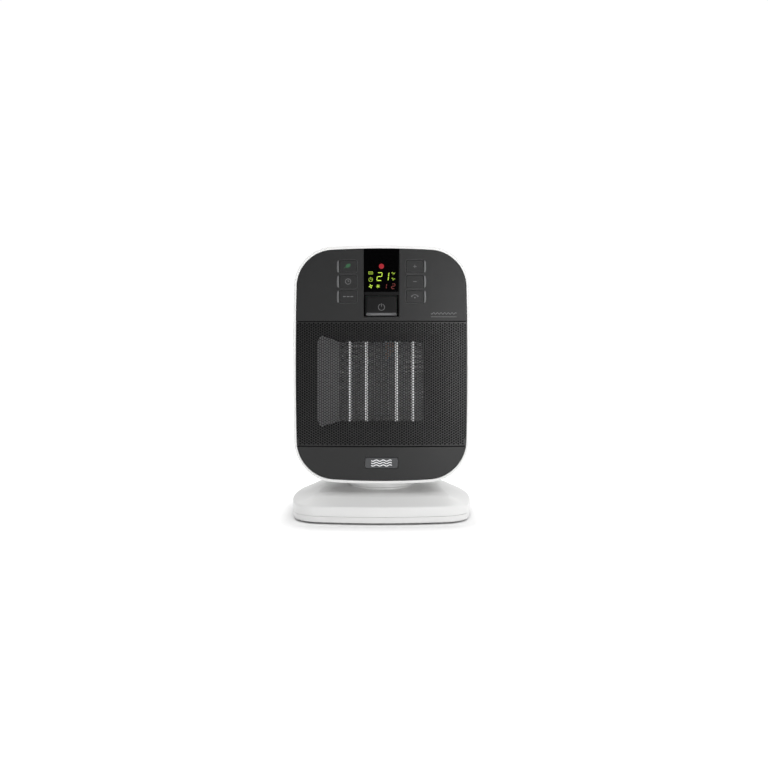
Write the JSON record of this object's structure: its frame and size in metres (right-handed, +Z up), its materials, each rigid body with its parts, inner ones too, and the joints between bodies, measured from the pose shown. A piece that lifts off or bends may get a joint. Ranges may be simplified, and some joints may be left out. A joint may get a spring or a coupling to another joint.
{
  "type": "ceramic space heater",
  "caption": "Upright ceramic fan heater: rounded box head with perforated grille, display and buttons, swinging on a flat oval base.",
  "frame": {"origin": "on the floor at the centre of the base, on the axis that the head swings about", "axes": "+Z up, the front faces -Y, +X to the right as seen from the front"},
  "size_m": [0.208, 0.176, 0.309],
  "materials": {
    "white_shell": "fine satin moulded plastic",
    "charcoal_fascia": "fine matt moulded plastic",
    "grille_sheet": "semi-matt black paint on perforated steel sheet",
    "gloss_black": "polished",
    "silver_trim": "satin metallic",
    "dark_plastic": "matt",
    "duct_plastic": "matt heat-proof plastic",
    "foot_rubber": "matt",
    "zinc_steel": "zinc plated",
    "natural_plastic": "natural acetal",
    "fin_aluminium": "rolled sheet",
    "brass_tab": "rolled",
    "board": "solder mask",
    "board_blue": "satin",
    "led_red": "lit",
    "lamination": "varnished laminations",
    "winding": "enamelled copper wire",
    "fan_plastic": "matt",
    "fuse_ceramic": "glazed",
    "lead_cover": "silicone sleeve",
    "filter_cloth": "woven nylon mesh"
  },
  "bodies": {
    "base": {"base_tray": "white_shell", "base_cover": "white_shell", "rubber_feet": "foot_rubber", "base_screws": "zinc_steel", "swivel_post": "dark_plastic", "thrust_washer": "natural_plastic", "retaining_washer": "zinc_steel", "swing_gear": "natural_plastic", "post_clip": "zinc_steel", "tip_switch": "dark_plastic", "cord_inlet": "dark_plastic"},
    "tip_sensor": {"tip_plunger": "dark_plastic"},
    "fan_rotor": {"fan_impeller": "fan_plastic", "motor_shaft": "zinc_steel", "motor_rotor": "lamination"},
    "swing_pinion": {"drive_pinion": "natural_plastic"},
    "power_key": {"power_button": "gloss_black", "power_trim": "silver_trim"},
    "eco_key": {"eco_button": "charcoal_fascia"},
    "timer_key": {"timer_button": "charcoal_fascia"},
    "mode_key": {"mode_button": "charcoal_fascia"},
    "plus_key": {"plus_button": "charcoal_fascia"},
    "minus_key": {"minus_button": "charcoal_fascia"},
    "swing_key": {"swing_button": "charcoal_fascia"},
    "filter": {"filter_frame": "white_shell", "filter_mesh": "filter_cloth"},
    "head": {"front_housing": "white_shell", "rear_housing": "white_shell", "neck_ring": "white_shell", "upper_fascia": "charcoal_fascia", "lower_fascia": "charcoal_fascia", "grille_mesh": "grille_sheet", "display_window": "gloss_black", "accent_bars": "silver_trim", "badge": "silver_trim", "display_board": "board", "display_module": "dark_plastic", "status_led": "led_red", "tact_switches": "zinc_steel", "air_duct": "duct_plastic", "ptc_bars": "fin_aluminium", "heater_fins": "fin_aluminium", "heater_caps": "dark_plastic", "heater_terminals": "brass_tab", "thermostat": "fin_aluminium", "thermal_fuse": "fuse_ceramic", "fan_shroud": "duct_plastic", "motor_stator": "lamination", "motor_coil": "winding", "motor_brackets": "zinc_steel", "motor_bolts": "zinc_steel", "power_board": "board", "board_parts": "board_blue", "swing_bracket": "zinc_steel", "swing_motor": "fin_aluminium", "inner_leads": "lead_cover", "housing_screws": "zinc_steel", "panel_screws": "zinc_steel"}
  },
  "joints": [
    {"name": "head_swing", "type": "hinge", "parent": "base", "child": "head", "pos_m": [0, 0, 0.045], "axis": [0, 0, 1], "range_deg": [-35, 35]},
    {"name": "pinion_turn", "type": "hinge", "parent": "head", "child": "swing_pinion", "pos_m": [0.028, 0, 0.055], "axis": [0, 0, 1], "range_deg": [-105, 105]},
    {"name": "fan_spin", "type": "hinge", "parent": "head", "child": "fan_rotor", "pos_m": [0, 0, 0.155], "axis": [0, 1, 0], "continuous": true},
    {"name": "tip_travel", "type": "slide", "parent": "base", "child": "tip_sensor", "axis": [0, 0, -1], "range_m": [0, 0.003]},
    {"name": "filter_pull", "type": "slide", "parent": "head", "child": "filter", "axis": [0, 1, 0], "range_m": [0, 0.03]},
    {"name": "power_press", "type": "slide", "parent": "head", "child": "power_key", "axis": [0, 1, 0], "range_m": [0, 0.0008], "stiffness_N_per_m": 1500},
    {"name": "eco_press", "type": "slide", "parent": "head", "child": "eco_key", "axis": [0, 1, 0], "range_m": [0, 0.0008], "stiffness_N_per_m": 1500},
    {"name": "timer_press", "type": "slide", "parent": "head", "child": "timer_key", "axis": [0, 1, 0], "range_m": [0, 0.0008], "stiffness_N_per_m": 1500},
    {"name": "mode_press", "type": "slide", "parent": "head", "child": "mode_key", "axis": [0, 1, 0], "range_m": [0, 0.0008], "stiffness_N_per_m": 1500},
    {"name": "plus_press", "type": "slide", "parent": "head", "child": "plus_key", "axis": [0, 1, 0], "range_m": [0, 0.0008], "stiffness_N_per_m": 1500},
    {"name": "minus_press", "type": "slide", "parent": "head", "child": "minus_key", "axis": [0, 1, 0], "range_m": [0, 0.0008], "stiffness_N_per_m": 1500},
    {"name": "swing_press", "type": "slide", "parent": "head", "child": "swing_key", "axis": [0, 1, 0], "range_m": [0, 0.0008], "stiffness_N_per_m": 1500}
  ],
  "couplings": [
    {"joint": "pinion_turn", "follows": "head_swing", "ratio": 3}
  ]
}
